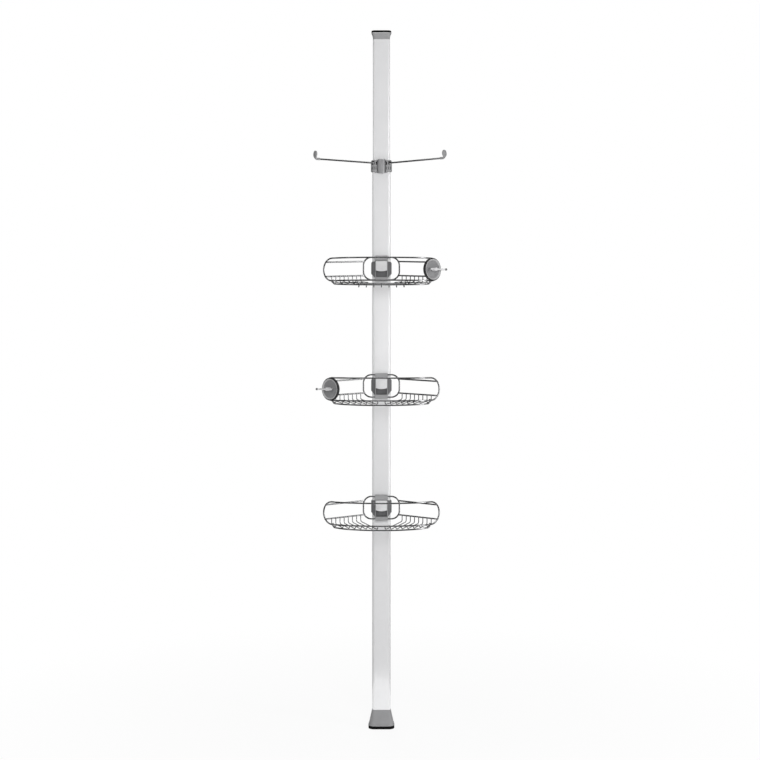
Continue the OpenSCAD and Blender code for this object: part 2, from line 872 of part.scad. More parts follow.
module basket_rails(z) color(steel)
    translate([0, 0, z])
        for (s = [-1, 1])
            for (level = [-1, 1])
                difference() {
                    strut(flip(rail_in(level), s), flip(rail_out(level), s), rail_wire);
                    loop_wire(rail_wire + 2 * weld);
                    on_end(s)
                        bow(rail_wire + 2 * weld);
                }

// floor wires: each leaves the lower side rail at a right angle to it in plan
rail_dir = unit(rail_out(-1) - rail_in(-1));
wire_dir = unit([rail_dir[1], -rail_dir[0]]);
wire_gap = (rail_wire + floor_wire) / 2 + weld;
back_bend = 9;
front_bend = 7;
wire_lap = 1;
first_wire = 63;
function rail_at(x) = rail_in(-1) + rail_dir * (x - rail_in(-1)[0]) / rail_dir[0];
function floor_z(y) = -rails_h / 2 - floor_depth + tan(floor_tilt) * (y - loop_y);

// way along d from p to a circle about c
function reach(p, d, c, r) =
    let (q = p - c, b = q * d)
    -b + sqrt(b * b + r * r - q * q);
function flat(p) = [p[0], p[1]];
function wire_start(i) =
    let (p = flat(rail_at(first_wire + i * floor_pitch)))
    p + wire_dir * wire_gap;
function front_stop(p) =
    let (
        far = p + wire_dir * reach(p, wire_dir, side_c, side_r - wire_gap),
        near = p + wire_dir * reach(p, wire_dir, [0, front_r - front_reach], front_r - wire_gap)
    )
    near[0] < (front_r - wire_gap) * sin(front_ang) ? near : far;

// point where a wire crosses the back or the side of the tray, if it does
tray_over = 3;
function tray_stop(p) =
    let (
        back = p + wire_dir * (tray_back - tray_over / 2 + p[1]) / -wire_dir[1],
        side = p + wire_dir * (tray_w / 2 - p[0]) / wire_dir[0]
    )
    back[0] < tray_w / 2 ? p + wire_dir * ((tray_back + tray_over + p[1]) / -wire_dir[1])
    : side + wire_dir * tray_over;
function meets_tray(p) = -tray_stop(p)[1] < tray_end;

function floor_path(i, tray) =
    let (
        p = wire_start(i),
        cut = tray && meets_tray(p),
        q = cut ? tray_stop(p) : front_stop(p),
        top = rail_at(first_wire + i * floor_pitch)[2] + wire_lap,
        down = [[p[0], p[1], top], [p[0], p[1], floor_z(p[1])], [q[0], q[1], floor_z(q[1])]]
    )
    cut ? down : concat(down, [[q[0], q[1], band_low + wire_lap]]);

module basket_floor(z, tray) color(steel)
    translate([0, 0, z])
        for (s = [-1, 1])
            for (i = [0 : floor_each - 1])
                wire([for (p = floor_path(i, tray)) flip(p, s)], front_bend, floor_wire);

// support wire under the front of the floor, with its ends turned up
support_gap = 1;
support_inset = rail_wire + support_gap;
support_ang = 36;
support_run = 12;
support_drop = (rail_wire + floor_wire) / 2 + weld;
support_bend = 7;

// children in the sloping plane of the floor wires' middle lines
module on_floor() {
    translate([0, loop_y, floor_z(loop_y)])
        rotate([floor_tilt, 0, 0])
            translate([0, -loop_y, 0])
                children();
}

module basket_support(z) color(steel)
    translate([0, 0, z])
        on_floor()
            translate([0, 0, -support_drop]) {
                front_line(support_inset, support_ang, rail_wire);
                for (s = [-1, 1])
                    translate([s * side_c[0], side_c[1], 0])
                        rotate([0, 0, s * support_ang])
                            wire([
                                [0, -(side_r - support_inset), 0],
                                [s * support_run, -(side_r - support_inset), 0],
                                [s * support_run, -(side_r - support_inset), support_run]
                            ], support_bend, rail_wire + 2 * swell);
            }

// sunk tray of the top basket: a frame wire and cross wires that dip below it
tray_wire = 3;
tray_front_r = front_r - support_inset - (rail_wire + tray_wire) / 2 - weld;
function tray_front(x) = front_reach - front_r + sqrt(tray_front_r * tray_front_r - x * x);
tray_end = tray_front((tray_w + tray_wire) / 2) + tray_wire / 2;
tray_corner = 5;
tray_level = (tray_wire + floor_wire) / 2 + weld;

module top_basket_tray() color(steel)
    translate([0, 0, top_z])
        on_floor()
            translate([0, 0, -tray_level]) {
                wire([
                    [-tray_w / 2, -tray_end, 0], [-tray_w / 2, -tray_back, 0],
                    [tray_w / 2, -tray_back, 0], [tray_w / 2, -tray_end, 0]
                ], tray_corner, tray_wire);
                half = (tray_wires - 1) / 2;
                for (i = [-half : half])
                    wire([
                        [i * tray_pitch, -tray_back - tray_wire - weld, 0],
                        [i * tray_pitch, -tray_back - tray_wire - weld, -tray_depth],
                        [i * tray_pitch, -tray_front(i * tray_pitch), -tray_depth],
                        [i * tray_pitch, -tray_front(i * tray_pitch), 0]
                    ], tray_wire, tray_wire);
            }

// Hook discs on the bow at a basket's end

disc_gap = rail_wire / 2 + seat;
hub_play = 1.8;
hub_d = band_h - rail_wire - 2 * hub_play;
clip_step = 3;
clip_d = hub_d - 2 * clip_step;
clip_t = 2.6;
jaw_w = 12;
rim = 3;
rim_top = 2;
dish = 2.5;
post_d = 10;
post_len = 13;
bar_rise = 6;
knob_lip = 1;
knob_d = bar_d + 2 * knob_lip;

// children about the axis of a disc, Z outwards from the bow's plane
module on_disc(side, z) {
    translate([0, 0, z])
        on_end(side)
            rotate([side * 90, 0, 0])
                children();
}

module hook_disc(side, z) color(grey)
    on_disc(side, z)
        translate([0, 0, disc_gap])
            rotate_extrude()
                polygon([
                    [0, 0], [disc_d / 2, 0], [disc_d / 2, disc_t - rim],
                    [disc_d / 2 - rim, disc_t], [disc_d / 2 - rim - rim_top, disc_t],
                    [disc_d / 2 - rim - rim_top - dish, disc_t - dish], [0, disc_t - dish]
                ]);

module hook_clip(side, z) color(dark_grey)
    on_disc(side, z) {
        translate([0, 0, -disc_gap])
            cylinder(d = hub_d, h = 2 * disc_gap - fit);
        translate([0, 0, -disc_gap - clip_t])
            cylinder(d = clip_d, h = clip_t);
        for (a = [0, side * 90])
            rotate([0, 0, a])
                block([0, band_h / 2 + rail_wire / 2], [-jaw_w / 2, jaw_w / 2],
                    [-disc_gap - clip_t, -disc_gap]);
    }

module hook_bar(side, z) color(pale_grey)
    on_disc(side, z)
        translate([0, 0, disc_gap + disc_t]) {
            translate([0, 0, -dish])
                cylinder(d = post_d, h = post_len + dish);
            wire([
                [-bar_len / 2, 0, post_len + bar_rise], [-bar_len / 2 + bar_rise, 0, post_len],
                [bar_len / 2 - bar_rise, 0, post_len], [bar_len / 2, 0, post_len + bar_rise]
            ], bar_d, bar_d);
            for (s = [-1, 1])
                translate([s * bar_len / 2, 0, post_len + bar_rise])
                    sphere(d = knob_d);
        }

floor_pad();
foot();
outer_tube();
spring_seat();
tension_spring();
inner_tube();
inner_tube_plug();
top_cap();
ceiling_pad();
collar();
collar_screws();
lock_lever();
lock_lever_pin();
lock_shoe();
arm(-1, left_arm_ang);  // left_arm
arm_tip(-1, left_arm_ang);  // left_arm_tip
arm(1, right_arm_ang);  // right_arm
arm_tip(1, right_arm_ang);  // right_arm_tip
arm_pins();
clamp_body(top_z);  // top_clamp_body
clamp_cover(top_z);  // top_clamp_cover
clamp_screws(top_z);  // top_clamp_screws
clamp_lever(top_z);  // top_clamp_lever
clamp_pin(top_z);  // top_clamp_pin
clamp_pad(top_z);  // top_clamp_pad
clamp_body(middle_z);  // middle_clamp_body
clamp_cover(middle_z);  // middle_clamp_cover
clamp_screws(middle_z);  // middle_clamp_screws
clamp_lever(middle_z);  // middle_clamp_lever
clamp_pin(middle_z);  // middle_clamp_pin
clamp_pad(middle_z);  // middle_clamp_pad
clamp_body(bottom_z);  // bottom_clamp_body
clamp_cover(bottom_z);  // bottom_clamp_cover
clamp_screws(bottom_z);  // bottom_clamp_screws
clamp_lever(bottom_z);  // bottom_clamp_lever
clamp_pin(bottom_z);  // bottom_clamp_pin
clamp_pad(bottom_z);  // bottom_clamp_pad
basket_band(top_z);  // top_basket_band
basket_loop(top_z);  // top_basket_loop
basket_rails(top_z);  // top_basket_rails
basket_floor(top_z, true);  // top_basket_floor
basket_support(top_z);  // top_basket_support
top_basket_tray();
basket_band(middle_z);  // middle_basket_band
basket_loop(middle_z);  // middle_basket_loop
basket_rails(middle_z);  // middle_basket_rails
basket_floor(middle_z, false);  // middle_basket_floor
basket_support(middle_z);  // middle_basket_support
basket_band(bottom_z);  // bottom_basket_band
basket_loop(bottom_z);  // bottom_basket_loop
basket_rails(bottom_z);  // bottom_basket_rails
basket_floor(bottom_z, false);  // bottom_basket_floor
basket_support(bottom_z);  // bottom_basket_support
hook_disc(1, top_z);  // top_hook_disc
hook_clip(1, top_z);  // top_hook_clip
hook_bar(1, top_z);  // top_hook_bar
hook_disc(-1, middle_z);  // middle_hook_disc
hook_clip(-1, middle_z);  // middle_hook_clip
hook_bar(-1, middle_z);  // middle_hook_bar
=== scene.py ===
"""Looks of a tension pole shelf unit: a telescoping pole with three wire baskets,
two swinging bars and two hook discs. Metres, Z up, front towards -Y."""

import json
import math

import bmesh
import bpy
import numpy as np
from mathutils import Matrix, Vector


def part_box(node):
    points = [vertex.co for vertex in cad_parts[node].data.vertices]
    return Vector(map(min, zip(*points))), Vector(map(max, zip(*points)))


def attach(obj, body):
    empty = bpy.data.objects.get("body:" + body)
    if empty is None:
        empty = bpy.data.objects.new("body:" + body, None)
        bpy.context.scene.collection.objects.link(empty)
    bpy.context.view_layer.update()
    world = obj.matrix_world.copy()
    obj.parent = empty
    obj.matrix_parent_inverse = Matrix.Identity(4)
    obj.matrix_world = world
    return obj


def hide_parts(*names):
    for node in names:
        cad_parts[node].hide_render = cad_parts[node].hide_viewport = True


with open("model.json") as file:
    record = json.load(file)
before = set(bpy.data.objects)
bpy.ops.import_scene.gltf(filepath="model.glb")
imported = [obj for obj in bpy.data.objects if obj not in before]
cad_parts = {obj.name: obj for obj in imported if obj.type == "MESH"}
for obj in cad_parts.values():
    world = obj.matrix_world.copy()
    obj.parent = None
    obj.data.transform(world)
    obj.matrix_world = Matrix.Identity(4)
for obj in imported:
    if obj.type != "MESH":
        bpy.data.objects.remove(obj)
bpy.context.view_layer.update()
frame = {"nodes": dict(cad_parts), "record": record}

LEVELS = ("top", "middle", "bottom")

# Pole, in metres. An outline is a rounded rectangle's width, depth and corner radius.
TUBE = (0.0546, 0.0346, 0.008)
UPPER = (0.0510, 0.0310, 0.0062)
FOOT = (0.075, 0.056, 0.016)
TUBE_WALL = 0.0012
FOOT_H, FOOT_LIP, FOOT_STEPS = 0.047, 0.0047, 10
PAD_LIP, PAD_T, CAP_PAD_T = 0.0012, 0.008, 0.006
CAP_H, CAP_FLARE, CAP_LIP, CAP_STEPS = 0.020, 0.003, 0.002, 18
CAP_STRAIGHT, CAP_CURVE = 0.3, 1.8
EDGE = 0.0004
SOFT_EDGE = 0.0009

# Wires and their routes, from the centre of a basket
RAIL_WIRE = 0.0044
FLOOR_WIRE = 0.0026
TRAY_WIRE = 0.003
SINK = 0.0003
LOOP_Y = -0.024
LOOP_W, LOOP_H, LOOP_R = 0.107, 0.067, 0.024
FRONT_REACH, FRONT_R, FRONT_ANG = 0.140, 0.330, math.radians(16)
SIDE_R, END_ANG = 0.142, math.radians(41)
BAND_H, BAND_DROP = 0.066, 0.007
RAILS_H, RAILS_DROP = 0.042, 0.0058
FLOOR_EACH, FLOOR_PITCH, FIRST_WIRE = 8, 0.01214, 0.063
FLOOR_DEPTH, FLOOR_TILT = 0.0175, math.radians(6)
SUPPORT_INSET, SUPPORT_ANG = 0.0054, math.radians(36)
SUPPORT_RUN = 0.012
TRAY_W, TRAY_BACK, TRAY_WIRES, TRAY_PITCH, TRAY_DEPTH = 0.144, 0.075, 7, 0.022, 0.008
TRAY_OVER = 0.003
WIRE_BEND, TRAY_BEND, DIP_BEND = 0.007, 0.005, 0.003
SIDE_STEPS, FRONT_STEPS, BOW_STEPS, LOOP_STEPS = 24, 40, 25, 17
POINT_STEP, FINE_STEP, RAIL_STEP = 0.003, 0.002, 0.01
RAIL_SIDES, FLOOR_SIDES = 14, 10

# Wires end in a nose: its last turn in radians, its rings and its length as a share of the radius
NOSE_TURN, NOSE_RINGS, NOSE_LENGTH = 1.4, 4, 0.6

# Weld beads: radii as shares of the wire's thickness, how much taller those of the floor are, and
# the angle from their poles at which they are cut flat
RAIL_BEAD, FLOOR_BEAD, BEAD_TALL = 0.62, 0.55, 1.2
BEAD_CUT, BEAD_RINGS, BEAD_SIDES = 0.2, 6, 10

# Angles in degrees between two faces, above which their edge is shaded as a sharp one
SHARP, DISC_SHARP, SOFT_SHARP = 35, 20, 40

# In a softened copy faces within FLAT degrees are joined, and edges of more than CORNER degrees are
# rounded by one of these widths
FLAT, CORNER = 1, 28
MAIN_ROUND, COVER_ROUND, FINE_ROUND = 0.0006, 0.0005, 0.0004

# Distances below which two points count as one: on a path, and in a copied node
SAME_POINT, MERGE_POINTS = 1e-7, 2e-6


def row(*numbers):
    """An array of floats."""
    return np.array(numbers, float)


def unit(v):
    """Vectors at length 1."""
    v = np.asarray(v, float)
    return v / np.linalg.norm(v, axis=-1, keepdims=True)


def grid_faces(rows, columns, wrap_rows=False):
    """Quads of a grid of points numbered row by row, whose columns close into rings."""
    bands = rows if wrap_rows else rows - 1
    i, j = np.meshgrid(np.arange(bands), np.arange(columns), indexing="ij")
    down, along = (i + 1) % rows, (j + 1) % columns
    quads = [i * columns + j, i * columns + along, down * columns + along, down * columns + j]
    return np.stack(quads, axis=-1).reshape(-1, 4)


def rings(points, wrap_rows=False):
    """A closed surface from an array of rings of points. Its ends are capped flat or wrap round."""
    rows, columns = points.shape[:2]
    caps = []
    if not wrap_rows:
        caps = [list(range(columns))[::-1], list(range((rows - 1) * columns, rows * columns))]
    return points.reshape(-1, 3), grid_faces(rows, columns, wrap_rows), caps


def run_on(values, count):
    """Rows with the first and the last of them repeated beyond the ends."""
    return np.vstack([np.tile(values[0], (count, 1)), values, np.tile(values[-1], (count, 1))])


def carried(path, radius, lean, closed=False, sides=RAIL_SIDES):
    """Round wire along a path. Each ring is point + radius * (cos a * u + sin a * v), where u is
    the lean direction less its part along the path, and v is the path's direction crossed with u.
    Open ends get a nose, where the radius falls as a cosine and the rings move on as a sine."""
    path = np.asarray(path, float)
    lean = np.broadcast_to(lean, path.shape)
    size = np.full(len(path), float(radius))
    if closed:
        way = unit(np.roll(path, -1, 0) - np.roll(path, 1, 0))
    else:
        way = unit(np.gradient(path, axis=0))
        turn = np.linspace(0, NOSE_TURN, NOSE_RINGS + 1)[1:]
        rise, fall = NOSE_LENGTH * radius * np.sin(turn), radius * np.cos(turn)
        head = path[-1] + way[-1] * rise[:, None]
        tail = (path[0] - way[0] * rise[:, None])[::-1]
        path = np.vstack([tail, path, head])
        size = np.concatenate([fall[::-1], size, fall])
        way, lean = run_on(way, NOSE_RINGS), run_on(lean, NOSE_RINGS)
    u = unit(lean - way * np.sum(lean * way, axis=1, keepdims=True))
    v = np.cross(way, u)
    a = np.linspace(0, 2 * math.pi, sides, endpoint=False)[None, :, None]
    points = path[:, None] + size[:, None, None] * (np.cos(a) * u[:, None] + np.sin(a) * v[:, None])
    return rings(points, closed)


def spaced(path, step, closed=False):
    """The same path with its points about one step apart."""
    path = np.asarray(path, float)
    if closed:
        path = np.vstack([path, path[:1]])
    run = np.concatenate([[0], np.cumsum(np.linalg.norm(np.diff(path, axis=0), axis=1))])
    keep = np.concatenate([[True], np.diff(run) > SAME_POINT])
    count = max(int(round(run[-1] / step)), 2)
    at = np.linspace(0, run[-1], count + 1)
    out = np.stack([np.interp(at, run[keep], path[keep, k]) for k in range(3)], axis=1)
    return out[:-1] if closed else out


def bent(points, radius, steps=9):
    """A path through points, each inner corner an arc of the radius that touches both its sides."""
    points = [np.asarray(p, float) for p in points]
    path = [points[0]]
    for a, b, c in zip(points, points[1:], points[2:]):
        u, v = unit(b - a), unit(c - b)
        angle = math.acos(float(np.clip(u @ v, -1, 1)))
        inward = unit(np.cross(np.cross(u, v), u))
        start = b - u * radius * math.tan(angle / 2)
        t = np.linspace(0, angle, steps)[:, None]
        path.extend(start + inward * radius * (1 - np.cos(t)) + u * radius * np.sin(t))
    path.append(points[-1])
    return np.array(path)


def beads(centres, radii):
    """Weld beads: ellipsoids, point = centre + (rx sin p cos a, ry sin p sin a, rz cos p)."""
    p = np.linspace(BEAD_CUT, math.pi - BEAD_CUT, BEAD_RINGS)[::-1, None]
    a = np.linspace(0, 2 * math.pi, BEAD_SIDES, endpoint=False)[None, :]
    ball = np.stack([np.sin(p) * np.cos(a), np.sin(p) * np.sin(a), np.cos(p) + 0 * a], axis=-1)
    return [rings(np.asarray(c) + ball * np.asarray(radii)) for c in centres]


def outlined(w, d, r, steps=9):
    """Rounded rectangles: a corner is (w / 2 - r, d / 2 - r) + r * (cos a, sin a), with signs."""
    w, d, r = [np.asarray(n, float)[:, None] for n in (w, d, r)]
    quarter = np.linspace(0, math.pi / 2, steps)
    a = np.concatenate([quarter + k * math.pi / 2 for k in range(4)])[None, :]
    sx = np.repeat([1, -1, -1, 1], steps)[None, :]
    sy = np.repeat([1, 1, -1, -1], steps)[None, :]
    return sx * (w / 2 - r) + r * np.cos(a), sy * (d / 2 - r) + r * np.sin(a)


def lofted(w, d, r, z, wrap_rows=False):
    """Rounded rectangles of given widths, depths and corner radii, stacked at heights z."""
    x, y = outlined(w, d, r)
    return rings(np.stack([x, y, np.asarray(z, float)[:, None] + 0 * x], axis=-1), wrap_rows)


def turned(profile, centre, axis, sides=96, wrap_rows=False):
    """A profile of (radius r, height h) points turned about an axis: centre + h * axis +
    r * (cos a * u + sin a * v), where u and v stand square to the axis. A profile that wraps
    makes a ring with a hole."""
    u = unit(np.cross(axis, row(0, 0, 1)))
    v = np.cross(axis, u)
    a = np.linspace(0, 2 * math.pi, sides, endpoint=False)[None, :, None]
    r, h = np.asarray(profile, float).T[:, :, None, None]
    points = np.asarray(centre) + h * np.asarray(axis) + r * (np.cos(a) * u + np.sin(a) * v)
    return rings(points, wrap_rows)


def rim(z, edge, up, steps=5):
    """(inset, height) points round an edge, from the upright side to the flat face at height z."""
    t = np.linspace(0, math.pi / 2, steps)
    return edge * (1 - np.cos(t)), z + up * edge * (np.sin(t) - 1)


def block_edge(z0, z1, low_edge, high_edge):
    """(inset, height) points up the side of a block, from its lower face to its upper one."""
    low_in, low_z = rim(z0, low_edge, -1)
    high_in, high_z = rim(z1, high_edge, 1)
    return np.concatenate([low_in[::-1], high_in]), np.concatenate([low_z[::-1], high_z])


def grown(outline, out):
    """A rounded rectangle's width, depth and corner radius when its sides move outwards."""
    w, d, r = outline
    return w + 2 * out, d + 2 * out, r + out


def finished(name, parts, body, finish, nodes=(), sharp=SHARP):
    """One object from closed surfaces. It rides on a body and stands for CAD nodes."""
    verts, faces, first = [], [], 0
    for points, quads, caps in parts:
        verts.append(points)
        faces += (quads + first).tolist() + [[first + k for k in cap] for cap in caps]
        first += len(points)
    mesh = bpy.data.meshes.new(name)
    mesh.from_pydata(np.vstack(verts).tolist(), [], faces)
    mesh.shade_smooth()
    mesh.set_sharp_from_angle(angle=math.radians(sharp))
    return placed(name, mesh, body, finish, nodes)


def placed(name, mesh, body, finish, nodes=()):
    """Puts a mesh in the scene, on its body, with its finish."""
    piece = bpy.data.objects.new(name, mesh)
    bpy.context.scene.collection.objects.link(piece)
    mesh.materials.clear()
    mesh.materials.append(finish)
    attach(piece, body)
    if nodes:
        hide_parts(*nodes)
    return piece


# Materials. A colour Mix node has several sockets of one name, so its sockets go by number.

MIX_DARK, MIX_PALE, MIX_RESULT = 6, 7, 2


class Number:
    """A shader value. Sums and products of such values add the Math nodes for them."""

    def __init__(self, finish, socket):
        self.finish, self.socket = finish, socket

    def __add__(self, other):
        return self.finish.math("ADD", self, other)

    def __sub__(self, other):
        return self.finish.math("SUBTRACT", self, other)

    def __rsub__(self, other):
        return self.finish.math("SUBTRACT", other, self)

    def __mul__(self, other):
        return self.finish.math("MULTIPLY", self, other)

    __radd__ = __add__
    __rmul__ = __mul__


class Finish:
    """A material with a Principled shader, whose nodes are written as sums."""

    def __init__(self, name, **plain):
        self.material = bpy.data.materials.new(name)
        self.material.use_nodes = True
        self.tree = self.material.node_tree
        self.tree.nodes.clear()
        self.shader = self.node("ShaderNodeBsdfPrincipled", {}, {})
        surface = {"Surface": self.shader.outputs["BSDF"]}
        self.out = self.node("ShaderNodeOutputMaterial", {}, surface)
        for socket, value in plain.items():
            self.shader.inputs[socket.replace("_", " ")].default_value = value

    def node(self, kind, settings, values):
        """A new node with its settings, and a value or a link at each named input."""
        node = self.tree.nodes.new(kind)
        for name, value in settings.items():
            setattr(node, name, value)
        for key, value in values.items():
            self.feed(node.inputs[key], value)
        return node

    def feed(self, socket, value):
        """Links an output to a socket, or sets the socket to a plain value."""
        if isinstance(value, Number):
            value = value.socket
        if isinstance(value, bpy.types.NodeSocket):
            self.tree.links.new(value, socket)
        else:
            socket.default_value = value

    def set(self, socket, value):
        """Feeds one input of the shader."""
        self.feed(self.shader.inputs[socket], value)

    def math(self, operation, a, b):
        """The result of one operation on two values."""
        node = self.node("ShaderNodeMath", {"operation": operation}, {0: a, 1: b})
        return Number(self, node.outputs[0])

    def place(self, stretch=(1, 1, 1)):
        """Object coordinates, stretched along each axis."""
        where = self.node("ShaderNodeTexCoord", {}, {}).outputs["Object"]
        return self.node("ShaderNodeMapping", {}, {"Vector": where, "Scale": stretch}).outputs[0]

    def noise(self, scale, detail=2.0, stretch=(1, 1, 1)):
        """Soft noise about a half, with about this many waves to the metre."""
        values = {"Vector": self.place(stretch), "Scale": scale, "Detail": detail}
        return Number(self, self.node("ShaderNodeTexNoise", {}, values).outputs["Fac"])

    def grains(self, scale):
        """Distance from the nearest of scattered points, about this many to the metre."""
        node = self.node("ShaderNodeTexVoronoi", {}, {"Vector": self.place(), "Scale": scale})
        return Number(self, node.outputs["Distance"])

    def glow(self, level):
        """Output of a plain glow of one grey level."""
        values = {"Color": (level, level, level, 1)}
        return self.node("ShaderNodeEmission", {}, values).outputs["Emission"]

    def blend(self, share, dark, pale):
        """Colour between two colours."""
        values = {"Factor": share, MIX_DARK: (*dark, 1), MIX_PALE: (*pale, 1)}
        return self.node("ShaderNodeMix", {"data_type": "RGBA"}, values).outputs[MIX_RESULT]

    def bump(self, height, distance, strength):
        """Relief on the shader's normal: height times distance, in metres, weakened by strength."""
        values = {"Height": height, "Distance": distance, "Strength": strength}
        self.set("Normal", self.node("ShaderNodeBump", {}, values).outputs["Normal"])


def anodised_aluminium():
    """Satin silver, drawn lengthwise: fine streaks along Z and a faint cloudiness."""
    f = Finish("satin_anodised_aluminium", Metallic=0.26)
    streaks = f.noise(1.0, 3.0, (2600, 2600, 9))
    clouds = f.noise(14.0, 2.0)
    shade = streaks * 0.5 + clouds * 0.5
    f.set("Base Color", f.blend(shade, (0.76, 0.76, 0.77), (0.88, 0.88, 0.89)))
    f.set("Roughness", 0.16 + streaks * 0.12)
    f.bump(streaks, 0.00004, 0.35)
    return f.material


def polished_steel():
    """Bright wire with a little waviness and fine scratches."""
    f = Finish("polished_stainless_wire", Metallic=1.0)
    wander = f.noise(160.0, 2.0)
    scratches = f.noise(2400.0, 3.0)
    f.set("Base Color", f.blend(wander, (0.56, 0.56, 0.57), (0.68, 0.68, 0.69)))
    f.set("Roughness", 0.14 + scratches * 0.12)
    f.bump(wander + scratches * 0.2, 0.00005, 0.4)
    return f.material


def moulded(name, dark, pale, rough=0.42, grain=3800.0, coat=0.0):
    """Moulded plastic: fine grain with shinier pits and a faint mottle, under a clear coat or none."""
    f = Finish(name, IOR=1.49, Coat_Weight=coat, Coat_Roughness=0.14)
    grains = f.grains(grain)
    mottle = f.noise(40.0, 3.0)
    f.set("Base Color", f.blend(mottle, dark, pale))
    f.set("Roughness", rough + grains * 0.18)
    f.bump(grains, 0.00006, 0.5)
    return f.material


def silver_paint():
    """Silver coat: fine flakes under a half gloss."""
    f = Finish("silver_coat", Metallic=0.3)
    flakes = f.grains(5200.0)
    f.set("Base Color", f.blend(flakes, (0.74, 0.74, 0.75), (0.88, 0.88, 0.89)))
    f.set("Roughness", 0.26 + flakes * 0.16)
    f.bump(flakes, 0.00003, 0.4)
    return f.material


def black_rubber(name):
    """Matt black rubber with a faint bloom."""
    f = Finish(name, IOR=1.2)
    bloom = f.noise(90.0, 4.0)
    grain = f.noise(3000.0, 2.0)
    f.set("Base Color", f.blend(bloom, (0.002, 0.002, 0.002), (0.006, 0.006, 0.006)))
    f.set("Roughness", 0.62 + grain * 0.2)
    f.bump(grain, 0.00008, 0.5)
    return f.material


def plain_steel():
    """Turned steel of pins, screws and the spring."""
    f = Finish("plain_steel", Metallic=1.0)
    turning = f.noise(900.0, 3.0)
    f.set("Base Color", f.blend(turning, (0.42, 0.42, 0.43), (0.60, 0.60, 0.61)))
    f.set("Roughness", 0.26 + turning * 0.2)
    f.bump(turning, 0.00004, 0.5)
    return f.material


FINISHES = {
    "anodised_aluminium": anodised_aluminium(),
    "polished_steel": polished_steel(),
    "fastener_steel": plain_steel(),
    "grey_plastic": moulded("grey_moulding", (0.25, 0.25, 0.255), (0.30, 0.30, 0.305)),
    "dark_plastic": moulded("dark_grey_moulding", (0.125, 0.125, 0.13), (0.155, 0.155, 0.16)),
    "disc_plastic": moulded("disc_moulding", (0.36, 0.36, 0.365), (0.42, 0.42, 0.425), 0.32),
    "lock_lever_plastic": moulded("lever_moulding", (0.22, 0.22, 0.225), (0.28, 0.28, 0.285), 0.26,
                                  coat=0.8),
    "silver_lever": silver_paint(),
    "pad_rubber": black_rubber("black_rubber"),
    "brake_rubber": black_rubber("brake_rubber"),
}
# The cap's pale lip is a painted highlight for the light that its rim catches
CAP_LIP_HIGHLIGHT = moulded("cap_lip_painted_highlight", (0.50, 0.50, 0.505), (0.56, 0.56, 0.565), 0.34)
DISC_FACE = moulded("disc_face_moulding", (0.15, 0.15, 0.155), (0.27, 0.27, 0.275), 0.4, 900.0)
# Near black for the disc's outer wall and bevel: painted shade, not the moulding's own colour
DISC_EDGE_SHADE = moulded("disc_edge_painted_shade", (0.020, 0.020, 0.021), (0.034, 0.034, 0.035), 0.4)
SLOT_OF = {s["node"]: s["material_slot"] for s in frame["record"]["subparts"]}
BODY_OF = {n: body for body, nodes in frame["record"]["behaviour"]["bodies"].items() for n in nodes}


def in_place_of(node, parts, name, sharp=SHARP):
    """A new piece on the body and in the slot of the node that it replaces."""
    slot = SLOT_OF[node]
    return finished(name, parts, BODY_OF[node], FINISHES[slot], [node], sharp)


def softened(node, name, width):
    """A copy of a node with its flat faces joined and its edges rounded."""
    mesh = frame["nodes"][node].data.copy()
    bm = bmesh.new()
    bm.from_mesh(mesh)
    bmesh.ops.remove_doubles(bm, verts=bm.verts, dist=MERGE_POINTS)
    bmesh.ops.dissolve_limit(bm, angle_limit=math.radians(FLAT), verts=bm.verts, edges=bm.edges)
    turn = math.radians(CORNER)
    corners = [e for e in bm.edges if e.is_manifold and e.calc_face_angle(0) > turn]
    bmesh.ops.bevel(bm, geom=corners, offset=width, segments=2, profile=0.5, affect="EDGES",
                    clamp_overlap=True)
    bm.to_mesh(mesh)
    bm.free()
    mesh.shade_smooth()
    mesh.set_sharp_from_angle(angle=math.radians(SOFT_SHARP))
    slot = SLOT_OF[node]
    return placed(name, mesh, BODY_OF[node], FINISHES[slot], [node])


# Pole

def wall_profile(z0, z1, wall, steps=4):
    """(inset, height) points up the outside of a tube, over its top, down the inside and round."""
    quarter = np.linspace(0, math.pi / 2, steps)
    out, up = EDGE * (1 - np.cos(quarter)), EDGE * (1 - np.sin(quarter))
    inset = np.concatenate([out[::-1], out, wall - out[::-1], wall - out])
    height = np.concatenate([z0 + up[::-1], z1 - up, z1 - up[::-1], z0 + up])
    return inset, height


def tube(node, name, outline):
    """The outline drawn in by the wall's profile, between the two ends of the node."""
    low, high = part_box(node)
    inset, z = wall_profile(low.z, high.z, TUBE_WALL)
    in_place_of(node, [lofted(*grown(outline, -inset), z, True)], name)


def foot():
    """A short upright lip, then a straight flare up to the tube's own outline."""
    z0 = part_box("foot")[0].z
    lip_in, lip_z = block_edge(z0, z0 + FOOT_LIP, SOFT_EDGE, SOFT_EDGE)
    flare = np.linspace(0, 1, FOOT_STEPS)[1:]
    inset = np.concatenate([lip_in, SOFT_EDGE * (1 - flare)])
    z = np.concatenate([lip_z, z0 + FOOT_LIP + (FOOT_H - FOOT_LIP) * flare])
    share = np.concatenate([0 * lip_in, flare])
    outline = [a + (b - a) * share for a, b in zip(FOOT, TUBE)]
    in_place_of("foot", [lofted(*grown(outline, -inset), z)], "flared_foot")


